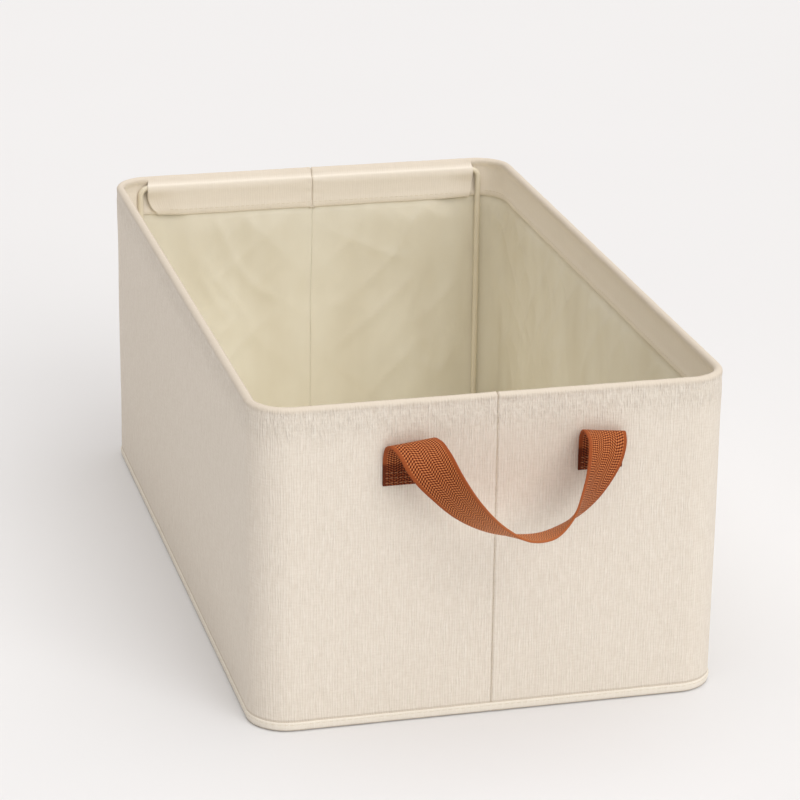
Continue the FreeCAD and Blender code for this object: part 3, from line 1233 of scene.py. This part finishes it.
@dataclass
class Handle:
    """One webbing handle: both tails sewn flat on the wall, folded over and hanging in a loop."""

    sizes: BinSizes
    finishes: Finishes
    end: End
    width: float = 28.0 * MM
    thickness: float = 1.4 * MM
    thread: float = 0.6 * MM
    tail: float = 24.0 * MM
    mesh_along: float = 1.3 * MM
    mesh_across: float = 1.4 * MM
    bevel: float = 0.45 * MM
    fray: float = 0.10 * MM
    rows: int = 3
    row_gap: float = 3.2 * MM
    first_row: float = 2.0 * MM
    tab_from_middle: float = 61.0 * MM
    tack_reach: float = 11.5 * MM
    tack: float = 2.0 * MM
    tack_pitch: float = 2.9 * MM
    hinge_from: float = 5.0 * MM
    hinge_to: float = 17.0 * MM

    def __post_init__(self) -> None:
        """Find the wall, the fold line and the handle's middle from the frame."""
        left_low, left_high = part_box("front_handle_tab_left")
        right_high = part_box("front_handle_tab_right")[1]
        self.middle = (left_low.x + right_high.x) / 2
        self.wall = -left_high.y
        self.tail_low = left_low.z
        self.fold = left_low.z + self.tail
        self.inner, self.outer = self.edges()

    def edges(self) -> tuple[SmoothLine, SmoothLine]:
        """The strap's edge nearer the handle's middle and its other edge, from left tail to right tail."""
        inner = [(-47, 0.8, -24), (-47, 0.8, -12), (-47, 1.4, -4), (-46.4, 4.2, 3.2), (-45.2, 9, 7.2),
                 (-42.5, 14.5, 7.0), (-41.5, 23, 4.8), (-36.5, 39, -5), (-27, 49, -21), (-13, 55, -35.5),
                 (3, 56.5, -44.5), (16.5, 55.5, -44), (28, 52, -35), (37, 43.5, -20), (45, 28, -3.5),
                 (47.5, 17.5, 2.6), (47.5, 11.5, 4.2), (47, 6, 3.6), (47, 1.8, -1.5), (47, 0.8, -10),
                 (47, 0.8, -24)]
        outer = [(-75, 0.8, -24), (-75, 0.8, -12), (-75, 1.4, -5), (-74.3, 4.2, 1.4), (-72.8, 8.6, 3.4),
                 (-69.6, 15, 0.5), (-64.5, 22, -8.0), (-52, 25.5, -24), (-36, 28.5, -37.5), (-17, 29.5, -47),
                 (1, 29, -51), (15.5, 28, -51.5), (30, 27, -47.5), (47, 25, -38.5), (63.5, 20, -22.5),
                 (71, 15, -12), (73.9, 10.6, -3.4), (74.8, 6, 0.4), (75, 1.8, -3.0), (75, 0.8, -11),
                 (75, 0.8, -24)]
        return self.line(inner), self.line(outer)

    def line(self, points: Sequence[tuple[float, float, float]]) -> SmoothLine:
        """A line from points given as millimetres along the wall, out of it and over the fold."""
        return SmoothLine([
            (self.middle + along * MM, -self.wall - out * MM, self.fold + up * MM)
            for along, out, up in points
        ])

    def strap(self) -> bpy.types.Object:
        """Make the strap, from one tail to the other."""
        spans = self.inner.last
        stations = self.inner.stations([12] * spans)
        centre = SmoothLine([(a + b) / 2 for a, b in zip(self.inner.points, self.outer.points)])
        lengths = centre.lengths(stations)
        even = evenly(0.0, lengths[-1], self.mesh_along)
        places = [station_at(lengths, stations, length) for length in even]
        across = evenly(-self.width / 2, self.width / 2, self.mesh_across)
        bm = cut_cloth(even, across)
        column = bm.verts.layers.int["column"]
        for vert in bm.verts:
            t = places[vert[column]]
            share = vert.co.y / self.width + 0.5
            a, b = self.outer.at(t), self.inner.at(t)
            middle = (a + b) / 2
            reach = (b - a).normalized() * self.width
            fray = self.fray * ripple(vert.co.x / 0.004, 3.0 * round(share)) * abs(share * 2 - 1) ** 8
            vert.co = middle + reach * (share - 0.5) + reach.normalized() * math.copysign(fray, share - 0.5)
        self.finish_edges(bm)
        cloth = bm.loops.layers.uv["cloth"]
        for loop in (loop for face in bm.faces for loop in face.loops):
            loop[cloth].uv.x -= lengths[-1] / 2
        piece = to_piece(bm, f"{self.end.value}_handle_strap", self.finishes.webbing)
        if self.end is End.BACK:
            piece.data.transform(Matrix.Rotation(math.pi, 4, "Z"))
        return piece

    def finish_edges(self, bm: BMesh) -> None:
        """Give the strap its thickness about its middle and round its long edges."""
        bm.normal_update()
        for vert, move in [(v, v.normal * self.thickness / 2) for v in bm.verts]:
            vert.co += move
        bmesh.ops.solidify(bm, geom=bm.faces[:], thickness=self.thickness)
        bm.normal_update()
        sharp = [e for e in bm.edges if len(e.link_faces) == 2 and e.calc_face_angle(0.0) > 1.0]
        bmesh.ops.bevel(bm, geom=sharp, affect="EDGES", offset=self.bevel, segments=2, profile=0.5,
                        material=-1)
        for face in bm.faces:
            face.smooth = True

    def tacks(self) -> bpy.types.Object:
        """Rows of stitches that hold both tails to the wall."""
        found = []
        face = -self.wall - self.thickness - 0.15 * MM
        for side in (-1, 1):
            tab = self.middle + side * self.tab_from_middle
            for i in range(self.rows):
                height = self.tail_low + self.first_row + i * self.row_gap
                for x in evenly(tab - self.tack_reach, tab + self.tack_reach, self.tack_pitch):
                    middle = Vector((x, face, height))
                    found.append(Stitch(middle, Vector((1, 0, 0)), Vector((0, -1, 0)), self.tack))
        piece = sew(f"{self.end.value}_tack_stitches", found, self.thread, self.finishes.tack_thread)
        if self.end is End.BACK:
            piece.data.transform(Matrix.Rotation(math.pi, 4, "Z"))
        return piece

    def build(self) -> None:
        """Make the handle and its stitches and fix them to the frame."""
        name = self.end.value
        sign = -1 if self.end is End.FRONT else 1
        strap = self.strap()
        start = Vector((0.0, sign * (self.wall + self.hinge_from), self.fold))
        end = Vector((0.0, sign * (self.wall + self.hinge_to), self.fold))
        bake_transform(strap, "shell", f"{name}_handle", start, end)
        dress(strap, "shell", "webbing", f"{name}_handle_tab_left", f"{name}_handle_tab_right",
              f"{name}_handle_loop")
        dress(self.tacks(), "shell", "tack_thread", f"{name}_handle_stitches")


def station_at(lengths: Sequence[float], stations: Sequence[float], length: float) -> float:
    """The station at a distance along a line, between the two measured ones nearest to it."""
    for i in range(1, len(lengths)):
        if lengths[i] >= length:
            span = lengths[i] - lengths[i - 1]
            return mix(stations[i - 1], stations[i], (length - lengths[i - 1]) / span if span else 0.0)
    return stations[-1]


# ---- The wire frame and hidden parts -----------------------------------------------------------------
@dataclass
class FrameParts:
    """Parts whose shape the frame already holds: wires, board and backing patches."""

    finishes: Finishes

    def build(self) -> None:
        """Give each of them its material."""
        self.cover(self.finishes.wire, "rim_wire", "front_leg_frame", "back_leg_frame")
        self.cover(self.finishes.board, "base_board")
        self.cover(self.finishes.patch, "front_handle_backing", "back_handle_backing")

    def cover(self, material: bpy.types.Material, *names: str) -> None:
        """Put a material in every slot of the named parts."""
        for name in names:
            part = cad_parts[name]
            for slot in part.material_slots:
                slot.material = material
            if not part.material_slots:
                part.data.materials.append(material)
            log.info("%-24s keeps its shape, in %s", name, material.name)


# ---- Studio ----------------------------------------------------------------------------------------
@dataclass
class Studio:
    """A plain pale floor, soft light and a camera above one corner of the bin."""

    floor_colour: Colour = srgb(234, 235, 238)
    sky: float = 0.39
    sky_colour: tuple[float, float, float, float] = (1.0, 0.92, 0.84, 1.0)
    key: float = 0.99
    key_way: tuple[float, float, float] = (0.30, -0.70, 0.45)
    key_angle: float = 40.0
    overhead: float = 1.76
    overhead_way: tuple[float, float, float] = (0.06, -0.05, 1.0)
    overhead_angle: float = 78.0
    lamp_colour: Colour = (1.0, 0.992, 0.98)
    floor_reach: float = 14.0
    azimuth: float = -14.62
    elevation: float = 20.07
    roll: float = 0.75
    distance: float = 2.110
    target: tuple[float, float, float] = (5.6 * MM, 0.0, 114.7 * MM)
    lens: float = 139.1

    def floor(self) -> None:
        """A wide floor under the bin."""
        bm = bmesh.new()
        bmesh.ops.create_grid(bm, x_segments=1, y_segments=1, size=self.floor_reach)
        recipe = Recipe("studio_floor")
        grain = recipe.mottle(recipe.object_place(), 3.0, 2.0)
        dim = tuple(channel * 0.985 for channel in self.floor_colour)
        material = recipe.finish(base_color=recipe.tint(grain, dim, self.floor_colour), roughness=0.9,
                                 specular_ior_level=0.1)
        floor = to_piece(bm, "studio_floor", material)
        floor.data.transform(Matrix.Translation((0.0, 0.0, -0.05 * MM)))

    def lights(self) -> None:
        """A broad sky, a soft key light from the right and in front, and a softer one overhead."""
        world = bpy.data.worlds.new("studio_sky")
        world.use_nodes = True
        background = world.node_tree.nodes["Background"]
        background.inputs["Color"].default_value = self.sky_colour
        background.inputs["Strength"].default_value = self.sky
        bpy.context.scene.world = world
        self.lamp("key_light", self.key, self.key_way, self.key_angle)
        self.lamp("overhead_light", self.overhead, self.overhead_way, self.overhead_angle)

    def lamp(self, name: str, strength: float, way: tuple[float, float, float], angle: float) -> None:
        """A far, broad light that shines from the given direction."""
        light = bpy.data.lights.new(name, "SUN")
        light.energy = strength
        light.angle = math.radians(angle)
        light.color = self.lamp_colour
        lamp = bpy.data.objects.new(name, light)
        lamp.rotation_mode = "QUATERNION"
        lamp.rotation_quaternion = Vector(way).to_track_quat("Z", "Y")
        bpy.context.scene.collection.objects.link(lamp)

    def camera(self) -> None:
        """The camera, turned a little about its own line of sight."""
        azimuth, elevation = math.radians(self.azimuth), math.radians(self.elevation)
        back = Vector((math.sin(azimuth) * math.cos(elevation), -math.cos(azimuth) * math.cos(elevation),
                       math.sin(elevation)))
        data = bpy.data.cameras.new("camera")
        data.lens = self.lens
        data.sensor_width = 36.0
        data.clip_start, data.clip_end = 0.05, 60.0
        camera = bpy.data.objects.new("camera", data)
        turn = back.to_track_quat("Z", "Y").to_matrix().to_4x4()
        tilt = Matrix.Rotation(math.radians(self.roll), 4, "Z")
        camera.matrix_world = Matrix.Translation(Vector(self.target) + back * self.distance) @ turn @ tilt
        bpy.context.scene.collection.objects.link(camera)
        bpy.context.scene.camera = camera

    def build(self) -> None:
        """Set the stage."""
        bpy.context.scene.view_settings.view_transform = "Standard"
        self.floor()
        self.lights()
        self.camera()


def main() -> None:
    """Build the bin and the studio."""
    logging.basicConfig(level=logging.INFO, format="%(message)s")
    sizes = BinSizes.from_frame()
    finishes = Finishes()
    LinenShell(sizes, finishes).build()
    Lining(sizes, finishes).build()
    Binding(sizes, finishes).build()
    for end in End:
        Handle(sizes, finishes, end).build()
    FrameParts(finishes).build()
    Studio().build()


if __name__ == "__main__":
    main()
